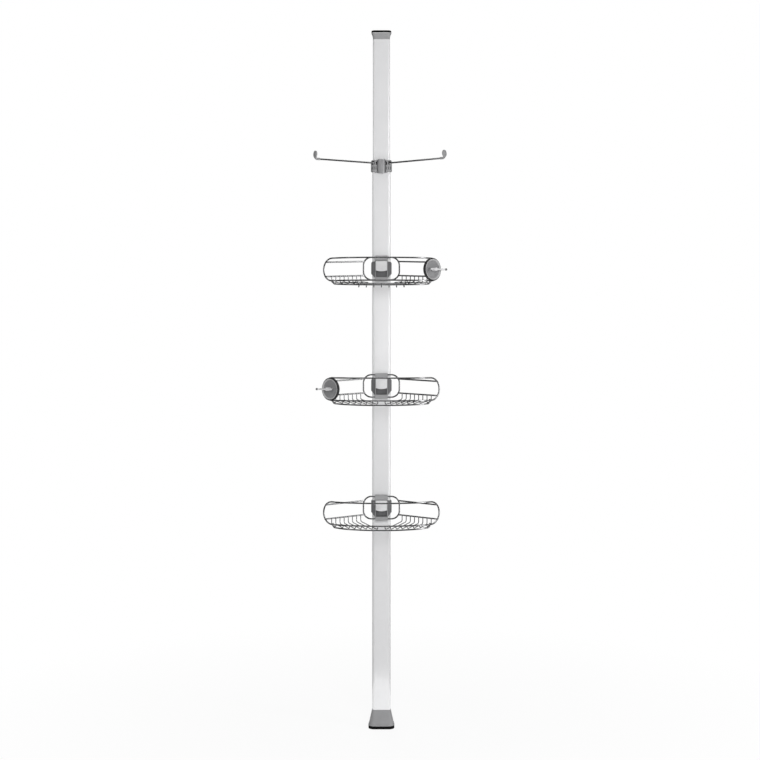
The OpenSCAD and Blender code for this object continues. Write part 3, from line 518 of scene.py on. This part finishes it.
def cap():
    """Straight at first, then flared as CAP_FLARE * share ** CAP_CURVE, with a rounded upper rim
    and a pale lip round its upper end, whose pale colour is a painted highlight."""
    z1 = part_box("top_cap")[1].z
    rim_in, rim_z = rim(z1, EDGE, 1)
    t = np.linspace(0, 1, CAP_STEPS)[:-1]
    share = np.clip((t - CAP_STRAIGHT) / (1 - CAP_STRAIGHT), 0, 1)
    grow = np.append(share ** CAP_CURVE * CAP_FLARE, CAP_FLARE - rim_in)
    z = np.append(z1 - CAP_H + (CAP_H - EDGE) * t, rim_z)
    in_place_of("top_cap", [lofted(*grown(UPPER, grow), z)], "flared_cap")
    # The lip's pale finish paints the highlight on the cap's rim
    inset, z = block_edge(z1 - CAP_LIP, z1, EDGE, EDGE)
    lip = lofted(*grown(UPPER, CAP_FLARE - inset), z)
    finished("cap_lip", [lip], BODY_OF["top_cap"], CAP_LIP_HIGHLIGHT, ["top_cap"])


def pad(node, name, outline, z0, z1, low_edge, high_edge):
    """A flat block with rounded edges, whose sides stand PAD_LIP outside the outline."""
    inset, z = block_edge(z0, z1, low_edge, high_edge)
    in_place_of(node, [lofted(*grown(outline, PAD_LIP - inset), z)], name)


tube("outer_tube", "lower_tube", TUBE)
tube("inner_tube", "upper_tube", UPPER)
foot()
cap()
pad("floor_pad", "foot_pad", FOOT, 0, PAD_T, SOFT_EDGE, SOFT_EDGE)
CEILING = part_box("ceiling_pad")[1].z
pad("ceiling_pad", "cap_pad", grown(UPPER, CAP_FLARE), CEILING - CAP_PAD_T, CEILING,
    SOFT_EDGE, 2 * SOFT_EDGE)

# Baskets

SIDE_C = row((FRONT_R - SIDE_R) * math.sin(FRONT_ANG),
             FRONT_R - FRONT_REACH - (FRONT_R - SIDE_R) * math.cos(FRONT_ANG))
END = SIDE_C + SIDE_R * row(math.sin(END_ANG), -math.cos(END_ANG))
OUTWARD = row(math.cos(END_ANG), math.sin(END_ANG), 0)
BAND_TOP, BAND_LOW = BAND_H / 2 - BAND_DROP, -BAND_H / 2 - BAND_DROP


def plan_arc(centre, radius, start, end, steps):
    """Points centre + radius * (sin a, -cos a), with a counted from the front."""
    a = np.linspace(start, end, steps)
    return np.stack([centre[0] + radius * np.sin(a), centre[1] - radius * np.cos(a)], axis=1)


def front_line(inset, last):
    """Front curve in plan, from left to right: a long arc between two tighter ones."""
    centre = (0, FRONT_R - FRONT_REACH)
    left = plan_arc((-SIDE_C[0], SIDE_C[1]), SIDE_R - inset, -last, -FRONT_ANG, SIDE_STEPS)
    middle = plan_arc(centre, FRONT_R - inset, -FRONT_ANG, FRONT_ANG, FRONT_STEPS)
    right = plan_arc(SIDE_C, SIDE_R - inset, FRONT_ANG, last, SIDE_STEPS)
    return np.vstack([left, middle[1:-1], right])


def level_at(plan, z):
    """Plan points raised to a height, or to one height each."""
    return np.column_stack([plan, np.broadcast_to(z, len(plan))])


def end_bow(side):
    """Half circle from the upper to the lower front rail, bulging outwards."""
    a = np.linspace(math.pi / 2, -math.pi / 2, BOW_STEPS)[:, None]
    centre = row(side * END[0], END[1], -BAND_DROP)
    return centre + BAND_H / 2 * (np.cos(a) * OUTWARD * row(side, 1, 1) + np.sin(a) * row(0, 0, 1))


def flipped(points, side):
    """The same points at the other side of the pole for side -1."""
    return np.asarray(points) * row(side, 1, 1)


def rail_start(level):
    """Where a side rail's middle line meets the bend of the loop. The level is 1 for the upper rail
    and -1 for the lower one."""
    up = RAILS_H / 2 - (LOOP_H / 2 - LOOP_R)
    return row(LOOP_W / 2 - LOOP_R + math.sqrt(LOOP_R ** 2 - up ** 2), LOOP_Y, level * RAILS_H / 2)


def rail_end(level):
    """Where a side rail's middle line meets the bow."""
    z = level * RAILS_H / 2 - RAILS_DROP
    out = math.sqrt((BAND_H / 2) ** 2 - (z + BAND_DROP) ** 2)
    return row(END[0], END[1], z) + out * row(OUTWARD[0], OUTWARD[1], 0)


RAIL_WAY = unit(rail_end(-1) - rail_start(-1))
WIRE_WAY = unit(row(RAIL_WAY[1], -RAIL_WAY[0]))
WIRE_GAP = (RAIL_WIRE + FLOOR_WIRE) / 2 - SINK


def rail_at(x):
    """Point of the lower side rail at a given x."""
    return rail_start(-1) + RAIL_WAY * (x - rail_start(-1)[0]) / RAIL_WAY[0]


def floor_z(y):
    """Height of the floor wires' middle lines."""
    return -RAILS_H / 2 - FLOOR_DEPTH + math.tan(FLOOR_TILT) * (y - LOOP_Y)


def way_to_circle(p, centre, radius):
    """How far a floor wire runs from p before it meets a circle."""
    q = p - centre
    along = q @ WIRE_WAY
    return -along + math.sqrt(along ** 2 + radius ** 2 - q @ q)


def front_stop(p):
    """Where a floor wire from p meets the inner side of the front rail."""
    far = p + WIRE_WAY * way_to_circle(p, SIDE_C, SIDE_R - WIRE_GAP)
    middle = row(0, FRONT_R - FRONT_REACH)
    near = p + WIRE_WAY * way_to_circle(p, middle, FRONT_R - WIRE_GAP)
    return near if near[0] < (FRONT_R - WIRE_GAP) * math.sin(FRONT_ANG) else far


TRAY_FRONT_R = FRONT_R - SUPPORT_INSET - (RAIL_WIRE + TRAY_WIRE) / 2 + SINK


def tray_front(x):
    """How far in front of the pole's axis the tray ends at a given x."""
    return FRONT_REACH - FRONT_R + math.sqrt(TRAY_FRONT_R ** 2 - x ** 2)


TRAY_END = tray_front((TRAY_W + TRAY_WIRE) / 2) + TRAY_WIRE / 2


def tray_stop(p):
    """Where a floor wire from p ends, just past the back or the side of the tray."""
    back = p + WIRE_WAY * (TRAY_BACK - TRAY_OVER / 2 + p[1]) / -WIRE_WAY[1]
    if back[0] < TRAY_W / 2:
        return p + WIRE_WAY * (TRAY_BACK + TRAY_OVER + p[1]) / -WIRE_WAY[1]
    return p + WIRE_WAY * ((TRAY_W / 2 - p[0]) / WIRE_WAY[0] + TRAY_OVER)


def floor_route(i, tray):
    """Corners of one floor wire on the right side: its ends are turned up to the side rail and to
    the front rail. Where a tray is in its way, it ends there, with three corners instead of four."""
    p = rail_at(FIRST_WIRE + i * FLOOR_PITCH)[:2] + WIRE_WAY * WIRE_GAP
    q = tray_stop(p)
    cut = tray and -q[1] < TRAY_END
    if not cut:
        q = front_stop(p)
    top = rail_at(FIRST_WIRE + i * FLOOR_PITCH)[2] + RAIL_WIRE / 4
    corners = [(*p, top), (*p, floor_z(p[1])), (*q, floor_z(q[1]))]
    if not cut:
        corners.append((*q, BAND_LOW + RAIL_WIRE / 4))
    return corners


def floor_plane(points):
    """Points drawn level are laid in the sloping plane of the floor wires' middle lines."""
    x, y, z = np.asarray(points, float).T
    c, s = math.cos(FLOOR_TILT), math.sin(FLOOR_TILT)
    y = y - LOOP_Y
    return np.stack([x, LOOP_Y + y * c - z * s, floor_z(LOOP_Y) + y * s + z * c], axis=1)


def support_route():
    """The support wire: the front curve drawn in, with its ends run on and turned up."""
    plan = level_at(front_line(SUPPORT_INSET, SUPPORT_ANG), 0)
    reach = SIDE_R - SUPPORT_INSET
    c, s = math.cos(SUPPORT_ANG), math.sin(SUPPORT_ANG)
    end = row(SIDE_C[0] + reach * s, SIDE_C[1] - reach * c, 0)
    turn = end + row(c, s, 0) * SUPPORT_RUN
    tip = bent([end, turn, turn + row(0, 0, SUPPORT_RUN)], WIRE_BEND)[1:]
    path = np.vstack([flipped(tip, -1)[::-1], plan, tip])
    return floor_plane(path - row(0, 0, (RAIL_WIRE + FLOOR_WIRE) / 2 - SINK))


def tray_parts():
    """Frame wire and cross wires of the sunk tray."""
    drop = row(0, 0, (TRAY_WIRE + FLOOR_WIRE) / 2 - SINK)
    half = TRAY_W / 2
    edge = bent([(-half, -TRAY_END, 0), (-half, -TRAY_BACK, 0), (half, -TRAY_BACK, 0),
                 (half, -TRAY_END, 0)], TRAY_BEND)
    parts = [carried(spaced(floor_plane(edge - drop), POINT_STEP), TRAY_WIRE / 2, (0, 0, 1))]
    back = TRAY_BACK + TRAY_WIRE - SINK
    for i in np.arange(TRAY_WIRES) - (TRAY_WIRES - 1) / 2:
        x = i * TRAY_PITCH
        dip = bent([(x, -back, 0), (x, -back, -TRAY_DEPTH), (x, -tray_front(x), -TRAY_DEPTH),
                    (x, -tray_front(x), 0)], DIP_BEND)
        dip = spaced(floor_plane(dip - drop), FINE_STEP)
        parts.append(carried(dip, TRAY_WIRE / 2, (1, 0, 0)))
    return parts


def basket(level):
    """All the wires of one basket, each kind a piece of its own."""
    low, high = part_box(f"{level}_clamp_body")
    lift = row(0, 0, (low.z + high.z) / 2)
    outward = row(0, FRONT_REACH / 2, 0)
    front = front_line(0, END_ANG)
    band = np.vstack([level_at(front, BAND_TOP), end_bow(1)[1:-1],
                      level_at(front[::-1], BAND_LOW), end_bow(-1)[::-1][1:-1]])
    band = spaced(band, POINT_STEP, closed=True) + lift
    middle = lift - outward - row(0, 0, BAND_DROP)
    in_place_of(f"{level}_basket_band", [carried(band, RAIL_WIRE / 2, band - middle, closed=True)],
                f"{level}_front_rails")

    x, z = LOOP_W / 2, LOOP_H / 2
    loop = bent([(0, LOOP_Y, z), (x, LOOP_Y, z), (x, LOOP_Y, -z), (-x, LOOP_Y, -z), (-x, LOOP_Y, z),
                 (0, LOOP_Y, z)], LOOP_R, LOOP_STEPS)
    loop = spaced(loop, POINT_STEP, closed=True) + lift
    in_place_of(f"{level}_basket_loop", [carried(loop, RAIL_WIRE / 2, (0, 1, 0), closed=True)],
                f"{level}_loop")

    rails, welds = [], []
    for side in (-1, 1):
        for up in (-1, 1):
            ends = flipped([rail_start(up), rail_end(up)], side) + lift
            rails.append(carried(spaced(ends, RAIL_STEP), RAIL_WIRE / 2, (0, 0, 1)))
            welds.extend(ends)
    rails += beads(welds, row(1, 1, 1) * RAIL_WIRE * RAIL_BEAD)
    in_place_of(f"{level}_basket_rails", rails, f"{level}_side_rails")

    # A floor wire's first corner is welded to the side rail, and its fourth to the front rail
    wires, welds = [], []
    toe = row(*WIRE_WAY, 0) * FLOOR_WIRE / 2
    for side in (-1, 1):
        lean = flipped((WIRE_WAY[1], -WIRE_WAY[0], 0), side)
        for i in range(FLOOR_EACH):
            corners = floor_route(i, level == "top")
            path = flipped(spaced(bent(corners, WIRE_BEND), FINE_STEP), side) + lift
            wires.append(carried(path, FLOOR_WIRE / 2, lean, sides=FLOOR_SIDES))
            for corner, aside in zip(corners[::3], (-toe, toe)):
                weld = row(*corner) - row(0, 0, RAIL_WIRE / 4) + aside
                welds.append(flipped(weld, side) + lift)
    wires += beads(welds, row(1, 1, BEAD_TALL) * FLOOR_WIRE * FLOOR_BEAD)
    in_place_of(f"{level}_basket_floor", wires, f"{level}_floor_wires")

    support = spaced(support_route(), POINT_STEP) + lift
    in_place_of(f"{level}_basket_support", [carried(support, RAIL_WIRE / 2, support - middle)],
                f"{level}_support_wire")
    if level == "top":
        parts = [(points + lift, quads, caps) for points, quads, caps in tray_parts()]
        in_place_of("top_basket_tray", parts, "top_sunk_tray")


for level in LEVELS:
    basket(level)

# Clamps, collar, levers and arms keep the nodes' shapes, with rounded edges

for level in LEVELS:
    softened(f"{level}_clamp_body", f"{level}_sleeve", MAIN_ROUND)
    softened(f"{level}_clamp_cover", f"{level}_sleeve_front", COVER_ROUND)
    softened(f"{level}_clamp_lever", f"{level}_release_lever", FINE_ROUND)
softened("collar", "pole_collar", COVER_ROUND)
softened("lock_lever", "flip_lock", COVER_ROUND)
for side in ("left", "right"):
    softened(f"{side}_arm", f"{side}_swing_bar", FINE_ROUND)
    softened(f"{side}_arm_tip", f"{side}_bar_end", MAIN_ROUND)

# Black strips of painted shade in the collar's grip grooves and in the slots beside its lever, where
# only shade darkens them

COLLAR_FACE, COLLAR_R, COLLAR_FLAT = -0.0295, 0.012, 0.0195
GROOVES_X, GROOVE_W = (0.0161, 0.0218, 0.0275), 0.0018
GROOVE_BACK, GROOVE_INSET, GROOVE_LOW, GROOVE_HIGH = -0.0245, 0.001, 0.0095, 0.019
SLOT_X, SLOT_W, SLOT_FRONT, SLOT_BACK = 0.0153, 0.0032, -0.0250, -0.021
SLOT_LOW, SLOT_HIGH = 0.0144, 0.0048
STRIP_EDGE, STRIP_R = 0.0003, 0.0005


def strip(x, width, front, back, low, high):
    """A rounded rectangle in plan, carried upright, with rounded ends."""
    inset, z = block_edge(low, high, STRIP_EDGE, STRIP_EDGE)
    points, quads, caps = lofted(*grown((width, back - front, STRIP_R), -inset), z)
    return points + row(x, (front + back) / 2, 0), quads, caps


def paint_collar_shade():
    """Black strips of painted shade inside the grooves and slots. Each groove's strip lies just behind
    the collar's front, which is flat and then curves back by R less the root of R squared less p
    squared, where R is COLLAR_R and p the distance past the flat part. The slots' strips lie at one
    depth."""
    low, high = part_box("collar")
    parts = []
    for side in (-1, 1):
        for x in GROOVES_X:
            curve = COLLAR_R - math.sqrt(COLLAR_R ** 2 - max(x - COLLAR_FLAT, 0) ** 2)
            parts.append(strip(side * x, GROOVE_W, COLLAR_FACE + curve + GROOVE_INSET, GROOVE_BACK,
                               low.z + GROOVE_LOW, high.z - GROOVE_HIGH))
        parts.append(strip(side * SLOT_X, SLOT_W, SLOT_FRONT, SLOT_BACK,
                           high.z - SLOT_LOW, high.z - SLOT_HIGH))
    # The black rubber finish paints the shade inside the grooves and slots
    finished("collar_painted_shade_strips", parts, BODY_OF["collar"], FINISHES["pad_rubber"],
             ["collar"])


paint_collar_shade()

# Hook discs: turned about the outward direction of a basket's end

DISC_R, DISC_RIM, DISC_FLAT, DISC_DISH = 0.0335, 0.003, 0.002, 0.0025
DISC_LOW, DISC_HIGH = 0.0025, 0.0105
DISC_CORE, DISC_SKIN = 0.002, 0.0004
POST_R, POST_TOP, POST_SIDES = 0.005, 0.0235, 48
BAR_D, BAR_BEND, BAR_STEP = 0.005, 0.005, 0.0015
BAR_ROUTE = ((-0.033, 0.0295), (-0.027, 0.0235), (0.027, 0.0235), (0.033, 0.0295))
KNOB_R, KNOB_CUT, KNOB_RINGS, KNOB_SIDES = 0.0035, 0.15, 12, 24


def hook(level, side):
    """The dished disc with a dark band of painted shade on its bevelled rim and a dark face in its
    dish, the bar on its post, and a knob at each end of the bar: a ball, (r sin p, -r cos p) turned
    about the bar. The side is 1 for the right and -1 for the left."""
    disc, cross = f"{level}_hook_disc", f"{level}_hook_bar"
    low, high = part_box(f"{level}_clamp_body")
    axis = row(side * math.sin(END_ANG), -math.cos(END_ANG), 0)
    centre = row(side * END[0], END[1], (low.z + high.z) / 2 - BAND_DROP)
    inner = DISC_R - DISC_SKIN
    wall_high, floor_high = DISC_HIGH - DISC_RIM, DISC_HIGH - DISC_DISH
    dish_r = DISC_R - DISC_RIM - DISC_FLAT - DISC_DISH
    profile = [(DISC_CORE, DISC_LOW), (inner - EDGE, DISC_LOW), (inner, DISC_LOW + EDGE),
               (inner, wall_high), (inner - DISC_RIM, DISC_HIGH),
               (dish_r + DISC_DISH + EDGE, DISC_HIGH),
               (dish_r + DISC_DISH - EDGE / 2, DISC_HIGH - EDGE / 2),
               (dish_r + EDGE, floor_high + EDGE), (dish_r - EDGE, floor_high),
               (DISC_CORE, floor_high)]
    in_place_of(disc, [turned(profile, centre, axis)], f"{level}_dished_disc", DISC_SHARP)
    # The band over the outer wall and bevel is painted shade
    band = [(inner - DISC_SKIN, DISC_LOW + EDGE), (DISC_R - EDGE / 2, DISC_LOW + EDGE),
            (DISC_R, DISC_LOW + 2 * EDGE), (DISC_R, wall_high), (DISC_R - DISC_RIM, DISC_HIGH),
            (DISC_R - DISC_RIM, DISC_HIGH - 2 * DISC_SKIN),
            (inner - DISC_SKIN, wall_high - DISC_SKIN)]
    finished(f"{level}_disc_edge", [turned(band, centre, axis, wrap_rows=True)], BODY_OF[disc],
             DISC_EDGE_SHADE, [disc], DISC_SHARP)
    inlay = [(POST_R - EDGE, floor_high - EDGE), (dish_r, floor_high - EDGE),
             (dish_r, floor_high + EDGE / 2), (dish_r - EDGE / 2, floor_high + EDGE),
             (POST_R - EDGE, floor_high + EDGE)]
    finished(f"{level}_disc_face", [turned(inlay, centre, axis)], BODY_OF[disc],
             DISC_FACE, [disc])

    route = [centre + flipped(OUTWARD, side) * x + axis * h for x, h in BAR_ROUTE]
    bar = spaced(bent(route, BAR_BEND), BAR_STEP)
    post = [(DISC_CORE, floor_high), (POST_R, floor_high), (POST_R, POST_TOP - EDGE),
            (POST_R - EDGE, POST_TOP), (DISC_CORE, POST_TOP)]
    parts = [carried(bar, BAR_D / 2, (0, 0, 1)), turned(post, centre, axis, POST_SIDES)]
    in_place_of(cross, parts, f"{level}_cross_bar")
    p = np.linspace(KNOB_CUT, math.pi - KNOB_CUT, KNOB_RINGS)
    ball = KNOB_R * np.stack([np.sin(p), -np.cos(p)], axis=1)
    ends = ((bar[0], bar[1]), (bar[-1], bar[-2]))
    knobs = [turned(ball, tip, unit(tip - before), KNOB_SIDES) for tip, before in ends]
    finished(f"{level}_bar_knobs", knobs, BODY_OF[cross],
             FINISHES["dark_plastic"], [cross])
    softened(f"{level}_hook_clip", f"{level}_disc_clip", FINE_ROUND)


hook("top", 1)
hook("middle", -1)

for node, obj in frame["nodes"].items():
    for place in obj.material_slots:
        place.material = FINISHES[SLOT_OF[node]]
    if not obj.material_slots:
        obj.data.materials.append(FINISHES[SLOT_OF[node]])

# Camera: level, at the photo's scale at the pole, with the photo's horizon

PIXEL = 0.0030
PHOTO_SIDE = 760
DISTANCE = 4.0
EYE_LEVEL = 1.145
HORIZON_PX = 345
POLE_PX = 381.4
SENSOR = 36

lens = bpy.data.cameras.new("camera")
lens.sensor_width = SENSOR
lens.lens = lens.sensor_width * DISTANCE / (PHOTO_SIDE * PIXEL)
lens.shift_y = (HORIZON_PX - PHOTO_SIDE / 2) / PHOTO_SIDE
eye = bpy.data.objects.new("camera", lens)
eye.location = ((PHOTO_SIDE / 2 - POLE_PX) * PIXEL, -DISTANCE, EYE_LEVEL)
eye.rotation_euler = (math.radians(90), 0, 0)
bpy.context.scene.collection.objects.link(eye)
bpy.context.scene.camera = eye

# Floor, lights and world

FLOOR_SIDE = 14.0
NEAR_GLOW, NEAR_R, FAR_R = 0.9, 0.35, 1.5
RING_R, RING_LOW, RING_HIGH = 5.0, -0.2, 4.0
CEILING_HOLE_R, GROUND_HOLE_R, GROUND_Z = 1.0, 0.3, 0.01
CARD_STEPS = 25
DARK_ARCS = ((238, 311), (323, 343), (352, 386), (34, 62),
             (72, 108), (118, 146), (154, 190), (200, 228))
ARC_LEVEL, CEILING_LEVEL, GROUND_LEVEL = 0.015, 0.02, 0.06
WORLD_LEVEL = 0.42
FLOOR_GREY = (0.9, 0.9, 0.9, 1)
LAMP_AIM = (0, 0, 1.1)

# Of each lamp: its name, place, width and height, watts, and whether gloss sees it
LAMPS = (
    ("key", (0.3, -3.6, 1.7), (1.6, 1.6), 80, False),
    ("strip", (2.9, -1.7, 1.5), (0.7, 3.2), 30, True),
    ("back", (-0.6, 3.6, 2.0), (1.8, 1.8), 45, False),
)


def white_floor():
    """Pale floor: mostly its own white for the camera and for gloss. Near the pole it keeps a faint
    shadow, and with distance it turns wholly white like the background."""
    f = Finish("white_floor", Roughness=0.9)
    f.set("Base Color", FLOOR_GREY)
    path = f.node("ShaderNodeLightPath", {}, {}).outputs
    camera, gloss = Number(f, path["Is Camera Ray"]), Number(f, path["Is Glossy Ray"])
    seen = camera + gloss + Number(f, path["Is Transmission Ray"])
    spread = f.node("ShaderNodeVectorMath", {"operation": "LENGTH"}, {0: f.place()})
    limits = {"Value": spread.outputs["Value"], "From Min": NEAR_R, "From Max": FAR_R,
              "To Min": NEAR_GLOW, "To Max": 1.0}
    share = Number(f, f.node("ShaderNodeMapRange", {}, limits).outputs["Result"])
    sides = {0: seen * share, 1: f.shader.outputs["BSDF"], 2: f.glow(1)}
    mix = f.node("ShaderNodeMixShader", {}, sides)
    f.feed(f.out.inputs["Surface"], mix.outputs["Shader"])
    return f.material


def card(name, points, faces, material):
    """A sheet put into the scene with its material."""
    mesh = bpy.data.meshes.new(name)
    mesh.from_pydata(points, [], faces)
    mesh.materials.append(material)
    obj = bpy.data.objects.new(name, mesh)
    bpy.context.scene.collection.objects.link(obj)
    return obj


def dark_card(name, low, high, start, end, level):
    """A line between two (radius, height) points, turned about the pole between two directions in
    degrees. Only gloss sees it, so bright wire stays dark against the white background."""
    f = Finish(f"{name}_glow")
    f.feed(f.out.inputs["Surface"], f.glow(level))
    a = np.radians(np.linspace(start, end, CARD_STEPS))
    arcs = [np.stack([r * np.cos(a), r * np.sin(a), z + 0 * a], axis=1) for r, z in (low, high)]
    points = np.vstack(arcs)
    k = np.arange(CARD_STEPS - 1)
    quads = np.stack([k, k + 1, k + 1 + CARD_STEPS, k + CARD_STEPS], axis=1)
    obj = card(name, points.tolist(), quads.tolist(), f.material)
    obj.visible_camera = obj.visible_diffuse = obj.visible_shadow = False
    obj.visible_transmission = obj.visible_volume_scatter = False


def lamp(name, place, size, watts, in_gloss):
    """A rectangular soft light aimed at LAMP_AIM."""
    light = bpy.data.lights.new(name, "AREA")
    light.shape = "RECTANGLE"
    light.size, light.size_y = size
    light.energy = watts
    obj = bpy.data.objects.new(name, light)
    obj.location = place
    way = unit(row(*LAMP_AIM) - row(*place))
    obj.rotation_euler = (math.acos(-way[2]), 0, math.atan2(way[1], way[0]) - math.pi / 2)
    obj.visible_glossy = in_gloss
    bpy.context.scene.collection.objects.link(obj)


def studio():
    """White for the camera, for gloss and for rays sent through, and WORLD_LEVEL for all others."""
    world = bpy.data.worlds.new("studio")
    world.use_nodes = True
    nodes, links = world.node_tree.nodes, world.node_tree.links
    background = nodes["Background"]
    background.inputs["Color"].default_value = (1, 1, 1, 1)
    path = nodes.new("ShaderNodeLightPath")
    seen = path.outputs["Is Camera Ray"]
    for way in ("Is Glossy Ray", "Is Transmission Ray"):
        either = nodes.new("ShaderNodeMath")
        either.operation = "MAXIMUM"
        links.new(seen, either.inputs[0])
        links.new(path.outputs[way], either.inputs[1])
        seen = either.outputs[0]
    level = nodes.new("ShaderNodeMapRange")
    level.inputs["To Min"].default_value = WORLD_LEVEL
    links.new(seen, level.inputs["Value"])
    links.new(level.outputs["Result"], background.inputs["Strength"])
    bpy.context.scene.world = world


half = FLOOR_SIDE / 2
corners = [(-half, -half, 0), (half, -half, 0), (half, half, 0), (-half, half, 0)]
card("floor", corners, [(0, 1, 2, 3)], white_floor())
for number, (start, end) in enumerate(DARK_ARCS):
    dark_card(f"dark_arc_{number}", (RING_R, RING_LOW), (RING_R, RING_HIGH), start, end, ARC_LEVEL)
dark_card("dark_ceiling", (RING_R, RING_HIGH), (CEILING_HOLE_R, RING_HIGH), 0, 360, CEILING_LEVEL)
dark_card("dark_ground", (GROUND_HOLE_R, GROUND_Z), (RING_R, GROUND_Z), 0, 360, GROUND_LEVEL)
for entry in LAMPS:
    lamp(*entry)
studio()
bpy.context.scene.view_settings.view_transform = "Standard"
